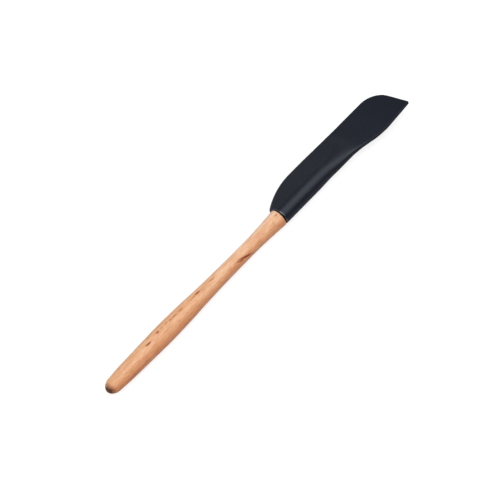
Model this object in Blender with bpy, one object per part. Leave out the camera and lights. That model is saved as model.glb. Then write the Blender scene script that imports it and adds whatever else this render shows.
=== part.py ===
"""Offset spatula: a black silicone blade, wide to one side of its spine, pushed onto a turned beech handle.

Design frame, in millimetres until the meshes are made:
    x  along the handle's axis, 0 at the mouth of the blade, + towards the tip
    w  in the blade's mid-plane, + towards the wide thin edge
    t  square to the mid-plane, + upwards
The finished part lies on a table: it is rolled about x until the wedge's lower face is level, then
moved so that the origin is the middle of the bounding box's bottom.
World axes: +X butt to tip, +Y towards the wide edge, +Z up.

Pieces: wood_handle (with its tenon), nylon_core (the stiffener the tenon plugs into) and
silicone_head (moulded over the core). The head and its core pull off the tenon along +X, so they
hang from the empty head_slide.
"""
import math

import bmesh
import bpy
from mathutils import Matrix, Vector

MM = 0.001

# ---- handle: turned beech --------------------------------------------------------------------
BUTT_X = -184.2            # end of the butt
CAP_X = -176.8             # where the rounded end begins
# (x, radius): butt, belly, long slim neck, swell to the shoulder
HANDLE_TEMPLATE = (
    (CAP_X, 6.05), (-165.0, 6.75), (-146.0, 7.25), (-123.5, 7.67), (-101.0, 7.20), (-85.0, 6.45),
    (-66.0, 5.92), (-44.0, 5.68), (-30.0, 5.68), (-14.0, 6.30), (0.0, 7.10),
)
SHOULDER_X = -0.05         # face of the shoulder
SHOULDER_ROUND = 0.3
HANDLE_SIDES = 40
CAP_STEPS, BODY_STEPS, SHOULDER_STEPS = 9, 30, 3
MERGE_DISTANCE = 0.002     # closes the spun profile on the axis

# ---- tenon: round, with two flats so that the head can't turn ---------------------------------
TENON_R = 3.8
TENON_FLATS = 6.4          # across the flats
TENON_END = 42.0
TENON_CHAMFER = 0.7
FLATS_X = 0.2              # the flats start just off the shoulder
# box that cuts a flat: along the tenon and beyond its end, across it, square to the flat
FLAT_CUT_SIZE = (TENON_END + 6.0, 12.0, 4.0)
FIT_GAP = 0.3              # between neighbouring pieces

# ---- blade outline ---------------------------------------------------------------------------
SPINE_R = 7.05             # round spine, about as thick as the handle's shoulder
MOUTH_X = 0.75             # the mouth's rim crosses the axis here...
MOUTH_LEAN = math.tan(math.radians(3.5))   # ...and leans: nearer the wood on the wide side
MOUTH_FADE = 24.0          # the sections are square again this far on
MOUTH_W = 9.75             # wide side at the mouth
EDGE_W = 21.0              # wide side once the flare has run out
FLARE_LEN = 34.5           # end of the parabolic flare that starts at x = 0
TAPER_X0, TAPER_X1 = 48.0, 84.0            # the thin edge eases in slightly between these...
TAPERED_W = 20.27                          # ...to this
# spine side, (x, distance from the axis): straight, a slight waist, then it swells out...
SPINE_SIDE = (
    (36.0, SPINE_R), (50.0, 6.80), (58.0, 7.12), (66.0, 7.31), (74.0, 7.39), (82.0, 8.24),
    (90.0, 9.93), (98.0, 11.74), (104.0, 12.28), (110.0, 12.43),
)
SWELL_X, SWELL_W = SPINE_SIDE[-1]
TIP_X, TIP_W = 136.2, 10.42                # ...and runs straight to the pointed tip
TIP_SLOPE = (TIP_W - SWELL_W) / (TIP_X - SWELL_X)
END_TILT = math.radians(13.4)              # the end edge leans back from square
CORNER_R = 18.4            # big round corner at the wide side
TIP_R = 1.1                # small round at the point

# ---- blade section ---------------------------------------------------------------------------
EDGE_R = 1.10              # half thickness of the thin edge
PADDLE_R = 1.30            # half thickness of the paddle on the spine side...
# ...where its edge is a squarish wall, taller towards the handle, (x, half height)
WALL = ((60.0, 2.3), (72.0, 2.2), (80.0, 1.95), (88.0, 1.5), (94.0, PADDLE_R), (100.0, PADDLE_R))
# the spine sinks into the flat paddle, (x, share of the full spine's height over the paddle's)
FULLNESS = (
    (34.0, 1.0), (40.0, 0.98), (50.0, 0.88), (56.0, 0.77), (62.0, 0.66), (68.0, 0.52),
    (75.0, 0.35), (81.0, 0.14), (87.0, 0.03), (92.0, 0.0), (98.0, 0.0),
)
# ...while its round back broadens, (x, half width)
BREADTH = ((40.0, SPINE_R), (50.0, 7.2), (58.0, 7.8), (66.0, 9.2), (74.0, 11.0), (82.0, 12.0))
LIP_ROUND = 0.9            # rounded lip at the mouth
BEVEL_LEN = 1.5            # thinning of the end edge
# (share of BEVEL_LEN in from the end edge, share of the thickness left)
BEVEL = ((1.0, 1.0), (0.5, 0.80), (0.15, 0.58), (0.0, 0.45))
SQUARE_UNTIL = 92.0        # from here the sections lean over to follow the end edge

# ---- spacing of the blade's mesh -------------------------------------------------------------
SPANS = 18                 # steps across a section
LIP_STEPS = 4
AFTER_LIP = 1.2            # from the lip's last section to the next one
FLARE_STEP, BLADE_STEP = 2.4, 3.3          # between sections in the flare and beyond it
CORNER_STEPS = 10
CORNER_LEAD = 0.3          # the corner's sections start this much deeper than its arc...
BEVEL_CLEAR = 1.15 * BEVEL_LEN             # ...and stop at this depth

# ---- mouth of the head -----------------------------------------------------------------------
COLLAR_X, COLLAR_R = 0.05, 5.9             # a round collar inside the mouth bears on the shoulder
COLLAR_END = MOUTH_X + 2.0
MOUTH_CUT_X = -3.0

# ---- core ------------------------------------------------------------------------------------
SKIN = 1.7                 # silicone over the core
CORE_X0, CORE_X1 = 3.2, 76.0
CORE_EDGE_R = 0.6
CORE_ROUND = 0.5
CORE_STEPS = 18
CORE_STATIONS = [CORE_X0 + CORE_ROUND + (CORE_X1 - CORE_X0 - 2 * CORE_ROUND) * i / CORE_STEPS
                 for i in range(CORE_STEPS + 1)]
BORE_X = -2.0              # the bore's cutter starts outside the core

SIN_WEDGE = (SPINE_R - EDGE_R) / (EDGE_W - EDGE_R)   # slope of the wedge's faces to the mid-plane
ROLL = math.asin(SIN_WEDGE)


# ==============================================================================================
# curves
# ==============================================================================================
def clamp(value, low=0.0, high=1.0):
    return min(max(value, low), high)


def smooth_step(value):
    share = clamp(value)
    return share * share * (3 - 2 * share)


def hermite(share, start, start_slope, end, end_slope):
    square, cube = share**2, share**3
    return ((2 * cube - 3 * square + 1) * start + (cube - 2 * square + share) * start_slope
            + (-2 * cube + 3 * square) * end + (cube - square) * end_slope)


def fair(stations, x, first=None, last=None):
    """Fair curve that keeps to the stations' rise and fall. first, last: end slopes."""
    xs, values = zip(*stations)
    gaps = [b - a for a, b in zip(xs, xs[1:])]
    chords = [(b - a) / gap for a, b, gap in zip(values, values[1:], gaps)]
    slopes = [chords[0] if first is None else first]
    for i in range(1, len(gaps)):
        slope = 0.0
        if chords[i - 1] * chords[i] > 0:
            # harmonic mean of the neighbouring chords, weighted by the gaps
            before = 2 * gaps[i] + gaps[i - 1]
            after = gaps[i] + 2 * gaps[i - 1]
            slope = (before + after) / (before / chords[i - 1] + after / chords[i])
        slopes.append(slope)
    slopes.append(chords[-1] if last is None else last)
    i = next(i for i in range(len(gaps)) if x <= xs[i + 1])
    return hermite((x - xs[i]) / gaps[i], values[i], slopes[i] * gaps[i],
                   values[i + 1], slopes[i + 1] * gaps[i])


def held(stations, x):
    """Fair curve that holds its end values beyond the stations."""
    return fair(stations, clamp(x, stations[0][0], stations[-1][0]))


def handle_radius(x):
    if x >= CAP_X:
        return fair(HANDLE_TEMPLATE, x)
    # elliptical cap on the template, carried on at its first slope
    cap_r = HANDLE_TEMPLATE[0][1]
    delta = 0.01
    slope = (fair(HANDLE_TEMPLATE, CAP_X + delta) - cap_r) / delta
    share = min((CAP_X - x) / (CAP_X - BUTT_X), 1.0)
    return (cap_r + slope * (x - CAP_X)) * math.sqrt(1 - share * share)


def wide_side(x):
    if x < FLARE_LEN:
        remaining = 1 - x / FLARE_LEN
        return EDGE_W - (EDGE_W - MOUTH_W) * remaining * remaining
    return EDGE_W + (TAPERED_W - EDGE_W) * clamp((x - TAPER_X0) / (TAPER_X1 - TAPER_X0))


def spine_side(x):
    if x < SWELL_X:
        return fair(SPINE_SIDE, max(x, SPINE_SIDE[0][0]), 0.0, TIP_SLOPE)
    return SWELL_W + TIP_SLOPE * (x - SWELL_X)


def edge_radius(x, wide):
    """The wedge's faces stay flat over the flare, so a narrower outline has a thicker edge."""
    if x < FLARE_LEN:
        return max(EDGE_R, (SPINE_R - wide * SIN_WEDGE) / (1 - SIN_WEDGE))
    return EDGE_R


# ==============================================================================================
# section lines: each crosses the blade from the spine side to the wide side, ends as (x, w)
# ==============================================================================================
def dot(a, b):
    return a[0] * b[0] + a[1] * b[1]


ALONG = (-math.sin(END_TILT), math.cos(END_TILT))    # along the end edge, towards the wide side
OUT = (math.cos(END_TILT), math.sin(END_TILT))       # square to the end edge, off the blade
REACH = dot((TIP_X, -TIP_W), OUT)                    # the end edge's distance along OUT

# "depth" is the distance in from the end edge; a round's depth is where its arc runs out
CORNER_W = TAPERED_W - CORNER_R
CORNER_CENTRE = ((REACH - CORNER_R - CORNER_W * OUT[1]) / OUT[0], CORNER_W)
CORNER_DEPTH = CORNER_R * (1 - OUT[1])

# outward normal of the straight spine side near the tip, and that side's distance along it
SIDE_OUT = (-TIP_SLOPE / math.hypot(TIP_SLOPE, 1.0), -1.0 / math.hypot(TIP_SLOPE, 1.0))
SIDE_REACH = dot(SIDE_OUT, (SWELL_X, -SWELL_W))


def inner_point(inset):
    """The point that lies inset in from both the straight spine side and the end edge."""
    side, end = SIDE_REACH - inset, REACH - inset
    determinant = SIDE_OUT[0] * OUT[1] - SIDE_OUT[1] * OUT[0]
    return ((side * OUT[1] - SIDE_OUT[1] * end) / determinant,
            (SIDE_OUT[0] * end - side * OUT[0]) / determinant)


POINT_CENTRE = inner_point(TIP_R)
POINT_DEPTH = TIP_R * (1 - dot(OUT, SIDE_OUT))

END_X = REACH / OUT[0]                               # where the end edge crosses the axis
PARALLEL_X = END_X - (CORNER_DEPTH + 1.0) / OUT[0]   # from here lines run along the end edge


def half_chord(radius, depth):
    return math.sqrt(max(radius**2 - (radius - depth)**2, 0.0))


def line_near_end(depth):
    """Section line parallel to the end edge, depth in from it."""
    base = REACH - depth
    if depth < CORNER_DEPTH:
        wide = dot(CORNER_CENTRE, ALONG) + half_chord(CORNER_R, depth)
    else:
        wide = (TAPERED_W - base * OUT[1]) / ALONG[1]
    if depth < POINT_DEPTH:
        spine = dot(POINT_CENTRE, ALONG) - half_chord(TIP_R, depth)
    else:
        spine = (SIDE_REACH - base * dot(SIDE_OUT, OUT)) / dot(SIDE_OUT, ALONG)
    return [(base * OUT[0] + s * ALONG[0], base * OUT[1] + s * ALONG[1]) for s in (spine, wide)]


def section_line(axis_x):
    """Section line that crosses the axis at axis_x."""
    if axis_x >= PARALLEL_X:
        return line_near_end((END_X - axis_x) * OUT[0])
    lean = math.tan(END_TILT * smooth_step((axis_x - SQUARE_UNTIL) / (PARALLEL_X - SQUARE_UNTIL)))
    lean += MOUTH_LEAN * smooth_step(1 - (axis_x - MOUTH_X) / MOUTH_FADE)
    wide, spine = TAPERED_W, SPINE_R
    for _ in range(30):                              # settle where the line meets the outline
        wide = wide_side(axis_x - wide * lean)
        spine = spine_side(axis_x + spine * lean)
    return [(axis_x + spine * lean, -spine), (axis_x - wide * lean, wide)]


# ==============================================================================================
# sections; "dist" is the distance along the section line from its spine end
# ==============================================================================================
def hull_height(dist, back_centre, back_r, edge_centre, edge_r):
    """Half thickness of two arcs and the straight face tangent to both."""
    sin_face = clamp((back_r - edge_r) / max(edge_centre - back_centre, 1e-6), -1.0, 1.0)
    face_start = back_centre + back_r * sin_face
    face_end = edge_centre + edge_r * sin_face
    if dist < face_start:
        return math.sqrt(max(back_r**2 - (dist - back_centre)**2, 0.0))
    if dist > face_end:
        return math.sqrt(max(edge_r**2 - (dist - edge_centre)**2, 0.0))
    share = (dist - face_start) / (face_end - face_start)
    return (back_r + (edge_r - back_r) * share) * math.sqrt(1 - sin_face * sin_face)


def paddle_height(dist, length, wall):
    """Half thickness of the flat paddle: squarish wall on the spine side, round thin edge."""
    face = wall + (EDGE_R - wall) * clamp((dist - wall) / (length - EDGE_R - wall))
    into_wall = clamp(1 - dist / wall)
    into_edge = clamp((dist - length + EDGE_R) / EDGE_R)
    return face * (1 - into_wall**4)**0.25 * math.sqrt(1 - into_edge * into_edge)


def ring_on(ends, height, inset=0.0):
    """Closed ring over a section line: upper side from the spine end, then the lower side back.

    Its points are closer together at both ends.
    """
    (x0, w0), (x1, w1) = ends
    length = math.hypot(x1 - x0, w1 - w0)
    along_x, along_w = (x1 - x0) / length, (w1 - w0) / length
    upper = []
    for i in range(SPANS + 1):
        dist = inset + (length - 2 * inset) * (1 - math.cos(math.pi * i / SPANS)) / 2
        t = 0.0 if i in (0, SPANS) else height(dist, length)
        upper.append((x0 + dist * along_x, w0 + dist * along_w, t))
    return upper + [(x, w, -t) for x, w, t in reversed(upper[1:-1])]


def blade_ring(axis_x, inset=0.0, squash=1.0):
    """Outer skin: the full spine's wedge, blended by height into the flat paddle."""
    ends = section_line(axis_x)
    full = held(FULLNESS, axis_x)
    wall = held(WALL, axis_x)
    edge_r = edge_radius(axis_x, ends[1][1])
    back_r = held(BREADTH, axis_x)
    spread = back_r / SPINE_R      # the hull is drawn this much larger, then its height is divided

    def height(dist, length):
        t = 0.0
        if full > 0:
            t += full / spread * hull_height(dist, back_r, back_r - inset * spread,
                                             length - edge_r * spread, (edge_r - inset) * spread)
        if full < 1:
            t += (1 - full) * paddle_height(dist, length, wall)
        return t * squash

    return ring_on(ends, height, inset)


def blade_ring_at_depth(depth, squash=1.0):
    return blade_ring(END_X - depth / OUT[0], squash=squash)


def core_ring(x, grow=0.0):
    """Section of the core, square to x: SKIN inside the blade, cut short where too thin."""
    wide = wide_side(x)
    wall = held(WALL, x)
    blade_back_r = wall + (SPINE_R - wall) * held(FULLNESS, x)
    blade_edge_r = edge_radius(x, wide)
    back_centre = SPINE_R - spine_side(x)
    blade_edge_centre = wide - blade_edge_r
    sin_face = (blade_back_r - blade_edge_r) / (blade_edge_centre - back_centre)
    edge_centre = min(blade_edge_centre,
                      back_centre + (blade_back_r - SKIN - CORE_EDGE_R) / sin_face)
    back_r = blade_back_r - SKIN + grow
    edge_r = blade_back_r - SKIN - (edge_centre - back_centre) * sin_face + grow
    return ring_on(
        [(x, back_centre - back_r), (x, edge_centre + edge_r)],
        lambda dist, length: hull_height(dist, back_r, back_r, length - edge_r, edge_r))


def flatted_ring(x, radius, flats, sides=32):
    """Ring of a round bar with two flats parallel to the blade's mid-plane."""
    angles = [2 * math.pi * i / sides for i in range(sides)]
    return [(x, radius * math.cos(a), clamp(radius * math.sin(a), -flats / 2, flats / 2))
            for a in angles]


# ==============================================================================================
# Blender helpers
# ==============================================================================================
def place(point):
    """Design frame (x, w, t) to the rolled frame, in metres, handle axis on the X axis."""
    x, w, t = point
    c, s = math.cos(ROLL), math.sin(ROLL)
    return Vector((x * MM, (w * c + t * s) * MM, (-w * s + t * c) * MM))


def make_material(name, rgb, roughness):
    mat = bpy.data.materials.new(name)
    mat.use_nodes = True
    shader = mat.node_tree.nodes["Principled BSDF"]
    shader.inputs["Base Color"].default_value = (*rgb, 1.0)
    shader.inputs["Roughness"].default_value = roughness
    mat.diffuse_color = (*rgb, 1.0)
    return mat


def link_object(name, data, parent):
    obj = bpy.data.objects.new(name, data)
    bpy.context.scene.collection.objects.link(obj)
    obj.parent = parent
    return obj


def add_mesh(name, bm, parent):
    bmesh.ops.recalc_face_normals(bm, faces=bm.faces)
    mesh = bpy.data.meshes.new(name)
    bm.to_mesh(mesh)
    bm.free()
    return link_object(name, mesh, parent)


def add_piece(name, bm, parent, mat, sharp_degrees):
    """Smooth-shaded piece, with edges sharper than sharp_degrees kept crisp."""
    obj = add_mesh(name, bm, parent)
    obj.data.materials.append(mat)
    obj.data.shade_smooth()
    obj.data.set_sharp_from_angle(angle=math.radians(sharp_degrees))
    return obj


def add_helper(name, bm, parent):
    """Unrendered body that a boolean uses."""
    obj = add_mesh(name, bm, parent)
    obj.hide_render = True
    obj.display_type = "WIRE"
    return obj


def add_boolean(obj, helper, prefix, operation):
    mod = obj.modifiers.new(prefix + helper.name, "BOOLEAN")
    mod.operation = operation
    mod.solver = "EXACT"
    mod.object = helper


def cut(obj, helper):
    add_boolean(obj, helper, "cut_", "DIFFERENCE")


def join(obj, helper):
    add_boolean(obj, helper, "join_", "UNION")


def loft(rings):
    """Skin a list of rings with quads and close both ends."""
    bm = bmesh.new()
    loops = [[bm.verts.new(place(point)) for point in ring] for ring in rings]
    count = len(loops[0])
    for a, b in zip(loops, loops[1:]):
        for i in range(count):
            j = (i + 1) % count
            bm.faces.new((a[i], a[j], b[j], b[i]))
    bm.faces.new(loops[0])
    bm.faces.new(list(reversed(loops[-1])))
    return bm


def axis_cylinder(x0, x1, radius, sides):
    """Plain cylinder along the handle's axis."""
    bm = bmesh.new()
    matrix = (Matrix.Translation(((x0 + x1) / 2 * MM, 0, 0))
              @ Matrix.Rotation(math.pi / 2, 4, "Y"))
    bmesh.ops.create_cone(bm, cap_ends=True, segments=sides, radius1=radius * MM,
                          radius2=radius * MM, depth=(x1 - x0) * MM, matrix=matrix)
    return bm


# ==============================================================================================
# wood_handle: the turning profile spun about the axis, with the tenon's two flats cut
# ==============================================================================================
def handle_profile():
    """(x, radius) from the butt to the tenon's end."""
    xs = [CAP_X - (CAP_X - BUTT_X) * math.cos(math.pi / 2 * i / CAP_STEPS)
          for i in range(CAP_STEPS)]                 # closer together near the pole
    xs += [CAP_X + (SHOULDER_X - SHOULDER_ROUND - CAP_X) * i / BODY_STEPS
           for i in range(BODY_STEPS + 1)]
    profile = [(x, handle_radius(x)) for x in xs]
    shoulder_r = handle_radius(SHOULDER_X)
    for i in range(1, SHOULDER_STEPS + 1):           # rounded shoulder edge
        angle = math.pi / 2 * i / SHOULDER_STEPS
        profile.append((SHOULDER_X - SHOULDER_ROUND * (1 - math.sin(angle)),
                        shoulder_r - SHOULDER_ROUND * (1 - math.cos(angle))))
    return profile + [
        (SHOULDER_X, TENON_R),
        (TENON_END - TENON_CHAMFER, TENON_R),
        (TENON_END, TENON_R - TENON_CHAMFER),
        (TENON_END, 0.0),
    ]


def flat_cutter(name, side, parent):
    """Box that cuts one flat; side is +1 for the upper flat, -1 for the lower."""
    length, _, depth = FLAT_CUT_SIZE
    centre = place((length / 2 + FLATS_X, 0.0, side * (TENON_FLATS + depth) / 2))
    size = Matrix.Diagonal((*(value * MM for value in FLAT_CUT_SIZE), 1.0))
    bm = bmesh.new()
    bmesh.ops.create_cube(bm, size=1.0)
    bmesh.ops.transform(bm, verts=bm.verts, matrix=Matrix.Translation(centre)
                        @ Matrix.Rotation(-ROLL, 4, "X") @ size)
    return add_helper(name, bm, parent)


def build_handle(parent, mat):
    bm = bmesh.new()
    chain = [bm.verts.new((x * MM, 0.0, r * MM)) for x, r in handle_profile()]
    edges = [bm.edges.new(pair) for pair in zip(chain, chain[1:])]
    bmesh.ops.spin(bm, geom=chain + edges, cent=(0, 0, 0), axis=(1, 0, 0), angle=2 * math.pi,
                   steps=HANDLE_SIDES, use_merge=True, use_duplicate=False)
    bmesh.ops.remove_doubles(bm, verts=bm.verts, dist=MERGE_DISTANCE * MM)
    handle = add_piece("wood_handle", bm, parent, mat, sharp_degrees=35.0)
    cut(handle, flat_cutter("upper_flat_cutter", 1, parent))
    cut(handle, flat_cutter("lower_flat_cutter", -1, parent))
    return handle


# ==============================================================================================
# silicone_head: loft of the blade's sections, hollowed for the core and the tenon
# ==============================================================================================
def head_rings():
    rings = []
    for i in range(LIP_STEPS + 1):                   # rounded lip at the mouth
        angle = math.pi / 2 * i / LIP_STEPS
        rings.append(blade_ring(MOUTH_X + LIP_ROUND * (1 - math.cos(angle)),
                                inset=LIP_ROUND * (1 - math.sin(angle))))
    x = MOUTH_X + LIP_ROUND + AFTER_LIP
    while x < PARALLEL_X:
        rings.append(blade_ring(x))
        x += FLARE_STEP if x < FLARE_LEN else BLADE_STEP
    corner_angle = math.acos(1 - (CORNER_DEPTH + CORNER_LEAD) / CORNER_R)
    for i in range(CORNER_STEPS - 1):                # round corner: even steps along its arc
        depth = CORNER_R * (1 - math.cos(corner_angle * (1 - i / CORNER_STEPS)))
        if depth > BEVEL_CLEAR:
            rings.append(blade_ring_at_depth(depth))
    for depth_share, thickness_share in BEVEL:
        rings.append(blade_ring_at_depth(BEVEL_LEN * depth_share, thickness_share))
    return rings


def build_head(parent, mat):
    head = add_piece("silicone_head", loft(head_rings()), parent, mat, sharp_degrees=30.0)
    collar = axis_cylinder(COLLAR_X, COLLAR_END, COLLAR_R, sides=48)
    join(head, add_helper("mouth_collar", collar, parent))
    cavity_xs = [CORE_X0 - FIT_GAP, *CORE_STATIONS[1:-1], CORE_X1 + FIT_GAP]
    cavity = loft([core_ring(x, FIT_GAP) for x in cavity_xs])
    cut(head, add_helper("cavity_cutter", cavity, parent))
    mouth = axis_cylinder(MOUTH_CUT_X, CORE_X0 + 0.5, TENON_R + FIT_GAP, sides=32)
    cut(head, add_helper("mouth_cutter", mouth, parent))
    return head


# ==============================================================================================
# nylon_core: stiffener with a blind flatted bore for the tenon
# ==============================================================================================
def build_core(parent, mat):
    rings = [core_ring(CORE_X0, -CORE_ROUND)]
    rings += [core_ring(x) for x in CORE_STATIONS]
    rings.append(core_ring(CORE_X1, -CORE_ROUND))
    core = add_piece("nylon_core", loft(rings), parent, mat, sharp_degrees=30.0)
    bore = loft([flatted_ring(x, TENON_R + FIT_GAP, TENON_FLATS + 2 * FIT_GAP)
                 for x in (BORE_X, TENON_END + FIT_GAP)])
    cut(core, add_helper("tenon_bore_cutter", bore, parent))


def centre_on_table(frame, objects):
    """Put the origin under the middle of the objects' bounding box."""
    points = [vertex.co for obj in objects for vertex in obj.data.vertices]
    low = Vector([min(point[i] for point in points) for i in range(3)])
    high = Vector([max(point[i] for point in points) for i in range(3)])
    frame.location = (-(low.x + high.x) / 2, -(low.y + high.y) / 2, -low.z)


def build():
    for old in list(bpy.data.objects):
        bpy.data.objects.remove(old)

    frame = link_object("frame", None, None)
    head_slide = link_object("head_slide", None, frame)   # slides along +X to pull the head off

    beech = make_material("beech", rgb=(0.72, 0.35, 0.18), roughness=0.48)
    nylon = make_material("nylon", rgb=(0.045, 0.046, 0.050), roughness=0.42)
    silicone = make_material("silicone", rgb=(0.018, 0.020, 0.028), roughness=0.50)

    handle = build_handle(frame, beech)
    head = build_head(head_slide, silicone)
    build_core(head_slide, nylon)
    centre_on_table(frame, [handle, head])


build()
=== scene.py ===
"""Offset spatula: a black silicone blade on a turned beech handle, lying on a white table under soft light.

The shapes are worked out in a design frame in millimetres: x runs along the handle's axis from the mouth (the blade's
open end) towards the tip, "across" lies in the blade's mid-plane towards the wide edge, and "up" is square to it.
to_scene() rolls that frame about the axis and takes it to the scene's metres. The butt points to -X, the tip to +X.
"""

import math
from functools import reduce

import bmesh
import bpy
import numpy as np
from mathutils import Matrix, Vector


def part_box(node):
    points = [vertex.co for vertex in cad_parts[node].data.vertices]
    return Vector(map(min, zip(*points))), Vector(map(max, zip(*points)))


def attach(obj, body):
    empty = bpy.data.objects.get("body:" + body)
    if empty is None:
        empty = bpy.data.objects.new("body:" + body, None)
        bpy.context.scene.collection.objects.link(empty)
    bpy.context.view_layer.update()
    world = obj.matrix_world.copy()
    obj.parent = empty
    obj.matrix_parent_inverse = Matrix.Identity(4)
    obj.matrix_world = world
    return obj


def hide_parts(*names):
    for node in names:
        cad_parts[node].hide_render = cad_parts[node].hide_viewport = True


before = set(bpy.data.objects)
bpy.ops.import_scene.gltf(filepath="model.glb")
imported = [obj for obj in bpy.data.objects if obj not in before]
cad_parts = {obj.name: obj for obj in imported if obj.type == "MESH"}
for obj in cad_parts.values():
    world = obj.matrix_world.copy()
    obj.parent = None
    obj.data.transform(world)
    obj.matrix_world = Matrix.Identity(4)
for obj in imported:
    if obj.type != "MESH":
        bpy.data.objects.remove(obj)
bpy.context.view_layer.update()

MM = 0.001

# ---- mesh fineness ----
SPANS = 104            # spans over one side of a blade section
HANDLE_SIDES = 224
COARSENING = 1.0      # divides the number of rings

# ---- handle ----
BUTT_X, CAP_X = -184.2, -176.8          # the rounded butt lies between these
# (x, radius)
HANDLE_PROFILE = (
    (CAP_X, 6.05), (-165.0, 6.75), (-146.0, 7.25), (-123.5, 7.67), (-101.0, 7.20), (-85.0, 6.45),
    (-66.0, 5.92), (-44.0, 5.68), (-30.0, 5.68), (-14.0, 6.30), (0.0, 7.10))
SHOULDER_X, SHOULDER_ROUND = -0.05, 0.3
SHOULDER_RADII = (5.8, 5.0, 4.4)
TENON_R, TENON_FLATS, TENON_END, TENON_ROUND = 3.8, 6.4, 42.0, 0.7
# (distance past the shoulder, radius beyond the tenon's): the round root of the tenon
TENON_ROOT = ((0.0, 0.25), (0.12, 0.06), (0.30, 0.0), (0.55, 0.0))
TENON_START = SHOULDER_X + 0.6          # the flats begin here
TENON_END_RADII = (2.2, 1.2, 0.4)
FIT_GAP = 0.3                           # between the blade's hollows and what fills them

# ---- blade outline: distances of its two sides from the axis ----
SPINE_R, EDGE_R = 7.05, 1.10            # radii of the thick spine and of the thin wide edge
MOUTH_WIDE, FULL_WIDE, END_WIDE = 9.75, 21.0, 20.27
FLARE_X = 34.5                          # the wide side has flared out by here
TAPER_X0, TAPER_X1 = 48.0, 84.0         # and draws in a little between these
# (x, distance of the spine side from the axis)
SPINE_SIDE = (
    (36.0, SPINE_R), (50.0, 6.80), (58.0, 7.12), (66.0, 7.31), (74.0, 7.39), (82.0, 8.24),
    (90.0, 9.93), (98.0, 11.74), (104.0, 12.28), (110.0, 12.43))
SWELL_X, SWELL_SPINE = SPINE_SIDE[-1]
TIP_X, TIP_SPINE = 136.2, 10.42
END_TILT = math.radians(13.4)           # of the end edge
CORNER_R, TIP_R = 18.4, 1.1             # round corners on the wide side and on the spine side

# ---- blade sections ----
PADDLE_R = 1.30                         # half thickness of the flat paddle at its spine side
# (x, half thickness of the wall that the flat part starts from)
WALL = ((60.0, 2.3), (72.0, 2.2), (80.0, 1.95), (88.0, 1.5), (94.0, PADDLE_R), (100.0, PADDLE_R))
# (x, share of the full wedge in the section; the rest is the flat paddle)
FULLNESS = (
    (34.0, 1.0), (40.0, 0.98), (50.0, 0.88), (56.0, 0.77), (62.0, 0.66), (68.0, 0.52),
    (75.0, 0.35), (81.0, 0.14), (87.0, 0.03), (92.0, 0.0), (98.0, 0.0))
# (x, radius of the wedge's spine before its height is scaled down)
BREADTH = ((40.0, SPINE_R), (50.0, 7.2), (58.0, 7.8), (66.0, 9.2), (74.0, 11.0), (82.0, 12.0))
SQUARE_UNTIL = 92.0                     # sections start to lean towards the end edge here
LEAN_MARGIN = 1.0                       # and lean fully this far before the corner begins

# ---- mouth, end bevel and cavity ----
MOUTH_X, MOUTH_LEAN, MOUTH_FADE = 0.75, math.tan(math.radians(3.5)), 24.0
LIP_ROUND = 0.9
COLLAR_X, COLLAR_R, COLLAR_ARRIS = 0.05, 5.9, 0.08
HOLE_R, HOLE_ROUND = TENON_R + FIT_GAP, 0.3
BEVEL_LEN = 1.5
# half thickness at the end edge, as shares of the full one: the land, its broken arris, its rise
BEVEL_LAND, ARRIS_DROP, LAND_RISE = 0.45, 0.09, 0.04
LAND_DEPTH = 0.10
SKIN, CORE_X0, CORE_X1, CORE_EDGE_R = 1.7, 3.2, 76.0, 0.6

# the wedge's faces slope by this angle; rolling by it lays the lower face level
SIN_WEDGE = (SPINE_R - EDGE_R) / (FULL_WIDE - EDGE_R)
ROLL = math.asin(SIN_WEDGE)

# the mouth's centre in the scene: on the handle's axis, BUTT_X from its end
handle_low, handle_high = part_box("wood_handle")
AXIS = Vector((handle_low.x - BUTT_X * MM, (handle_low.y + handle_high.y) / 2,
               (handle_low.z + handle_high.z) / 2))


# ======================================================================================
# curves
# ======================================================================================
def clamp(value, low, high):
    return min(max(value, low), high)


def smooth_step(share):
    share = clamp(share, 0.0, 1.0)
    return share * share * (3 - 2 * share)


def hermite(k, start, start_slope, end, end_slope):
    return ((2 * k**3 - 3 * k**2 + 1) * start + (k**3 - 2 * k**2 + k) * start_slope
            + (-2 * k**3 + 3 * k**2) * end + (k**3 - k**2) * end_slope)


def fair(stations, x, first_slope=None, last_slope=None):
    """Smooth curve through the stations that does not overshoot between them."""
    xs, values = zip(*stations)
    count = len(xs)
    steps = [xs[i + 1] - xs[i] for i in range(count - 1)]
    grades = [(values[i + 1] - values[i]) / steps[i] for i in range(count - 1)]
    slopes = [0.0] * count
    for i in range(1, count - 1):
        if grades[i - 1] * grades[i] > 0:
            before = 2 * steps[i] + steps[i - 1]
            after = steps[i] + 2 * steps[i - 1]
            slopes[i] = (before + after) / (before / grades[i - 1] + after / grades[i])
    slopes[0] = grades[0] if first_slope is None else first_slope
    slopes[-1] = grades[-1] if last_slope is None else last_slope
    i = next(j for j in range(count - 1) if x <= xs[j + 1] or j == count - 2)
    return hermite((x - xs[i]) / steps[i], values[i], slopes[i] * steps[i],
                   values[i + 1], slopes[i + 1] * steps[i])


def fair_held(stations, x):
    """The same curve, with its end values held beyond the ends."""
    return fair(stations, clamp(x, stations[0][0], stations[-1][0]))


def quarter_round(points):
    """Steps of a unit quarter round, from just after (1, 0) to (0, 1)."""
    angles = np.linspace(0, math.pi / 2, points)[1:]
    return list(zip(1 - np.sin(angles), 1 - np.cos(angles)))


def ring_count(count):
    return int(count / COARSENING)


CAP_SLOPE = (fair(HANDLE_PROFILE, CAP_X + 0.01) - HANDLE_PROFILE[0][1]) / 0.01


def handle_radius(x):
    if x < CAP_X:                       # the butt is an ellipse on the profile's tangent
        share = (CAP_X - x) / (CAP_X - BUTT_X)
        return (HANDLE_PROFILE[0][1] + CAP_SLOPE * (x - CAP_X)) * math.sqrt(1 - share * share)
    return fair(HANDLE_PROFILE, x)


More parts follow.
